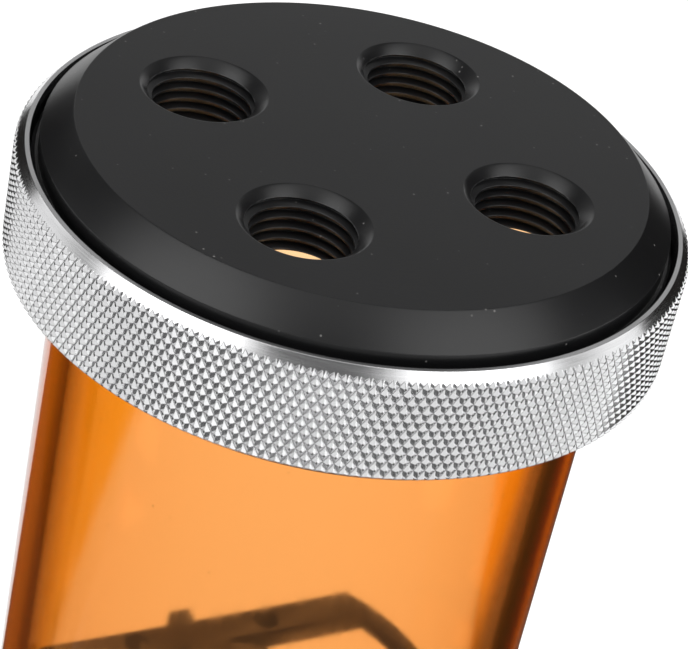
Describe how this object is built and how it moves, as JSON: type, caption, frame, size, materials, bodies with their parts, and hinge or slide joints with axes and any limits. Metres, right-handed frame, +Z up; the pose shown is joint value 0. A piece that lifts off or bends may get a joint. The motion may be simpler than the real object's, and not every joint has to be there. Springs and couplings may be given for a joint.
{
  "type": "coolant pump reservoir",
  "caption": "Amber tube reservoir clamped by knurled collars between a ported cap and a square pump block with a canned motor below.",
  "frame": {"origin": "centre of the face that the reservoir stands on", "axes": "+Z up along the tube's axis, -Y out of the outlet port's face, -X out of the plugged port's face"},
  "size_m": [0.09, 0.09, 0.2219],
  "materials": {
    "black_acetal": "satin",
    "amber_acrylic": "polished, clear",
    "knurled_aluminium": "bright, diamond knurled",
    "seal_rubber": "matte",
    "white_slip": "matte",
    "black_acrylic": "polished",
    "nickel_brass": "polished",
    "motor_plastic": "moulded",
    "stainless": "brushed",
    "ceramic": "polished",
    "magnet": "coated",
    "impeller_plastic": "moulded",
    "core_steel": "laminated",
    "copper": "enamelled wire",
    "screw_steel": "plain",
    "gland_plastic": "moulded",
    "board": "solder resist",
    "dial_plastic": "moulded"
  },
  "bodies": {
    "base": {"top_cap": "black_acetal", "reservoir_tube": "amber_acrylic", "baffle_plate": "black_acrylic", "baffle_blade": "black_acrylic", "baffle_cross_blade": "black_acrylic", "pump_block": "black_acetal", "pump_flange": "motor_plastic", "pump_seal": "seal_rubber", "separation_dome": "stainless", "bearing_pin": "stainless", "bearing_ball": "ceramic", "stator_core": "core_steel", "stator_coils": "copper", "motor_can": "stainless", "clamp_ring": "stainless", "clamp_screws": "screw_steel", "rear_cover": "motor_plastic", "cable_gland": "gland_plastic", "control_board": "board"},
    "top_seal_pack": {"top_seal": "seal_rubber", "top_slip_ring": "white_slip"},
    "top_collar_ring": {"top_collar": "knurled_aluminium"},
    "bottom_seal_pack": {"bottom_seal": "seal_rubber", "bottom_slip_ring": "white_slip"},
    "bottom_collar_ring": {"bottom_collar": "knurled_aluminium"},
    "plug_seal": {"port_plug_seal": "seal_rubber"},
    "plug": {"port_plug": "nickel_brass"},
    "rotor": {"rotor_magnet": "magnet", "impeller": "impeller_plastic"},
    "dial": {"speed_dial": "dial_plastic"}
  },
  "joints": [
    {"name": "top_seal_slide", "type": "slide", "parent": "base", "child": "top_seal_pack", "axis": [0, 0, -1], "range_m": [0, 0.006]},
    {"name": "top_collar_turn", "type": "hinge", "parent": "top_seal_pack", "child": "top_collar_ring", "pos_m": [0, 0, 0.20944], "axis": [0, 0, -1], "range_deg": [0, 1080]},
    {"name": "bottom_seal_slide", "type": "slide", "parent": "base", "child": "bottom_seal_pack", "axis": [0, 0, 1], "range_m": [0, 0.006]},
    {"name": "bottom_collar_turn", "type": "hinge", "parent": "bottom_seal_pack", "child": "bottom_collar_ring", "pos_m": [0, 0, 0.09944], "axis": [0, 0, 1], "range_deg": [0, 1080]},
    {"name": "plug_seal_slide", "type": "slide", "parent": "base", "child": "plug_seal", "axis": [-1, 0, 0], "range_m": [0, 0.00803]},
    {"name": "plug_turn", "type": "hinge", "parent": "plug_seal", "child": "plug", "pos_m": [-0.0414, 0, 0.079], "axis": [-1, 0, 0], "range_deg": [0, 2160]},
    {"name": "rotor_spin", "type": "hinge", "parent": "base", "child": "rotor", "pos_m": [0, 0, 0.048], "axis": [0, 0, 1], "continuous": true},
    {"name": "dial_turn", "type": "hinge", "parent": "base", "child": "dial", "pos_m": [0, 0, 0.002], "axis": [0, 0, -1], "range_deg": [0, 270]}
  ],
  "couplings": [
    {"joint": "top_collar_turn", "follows": "top_seal_slide", "rad_per_m": 3141.6},
    {"joint": "bottom_collar_turn", "follows": "bottom_seal_slide", "rad_per_m": 3141.6},
    {"joint": "plug_turn", "follows": "plug_seal_slide", "rad_per_m": 4694.8}
  ]
}
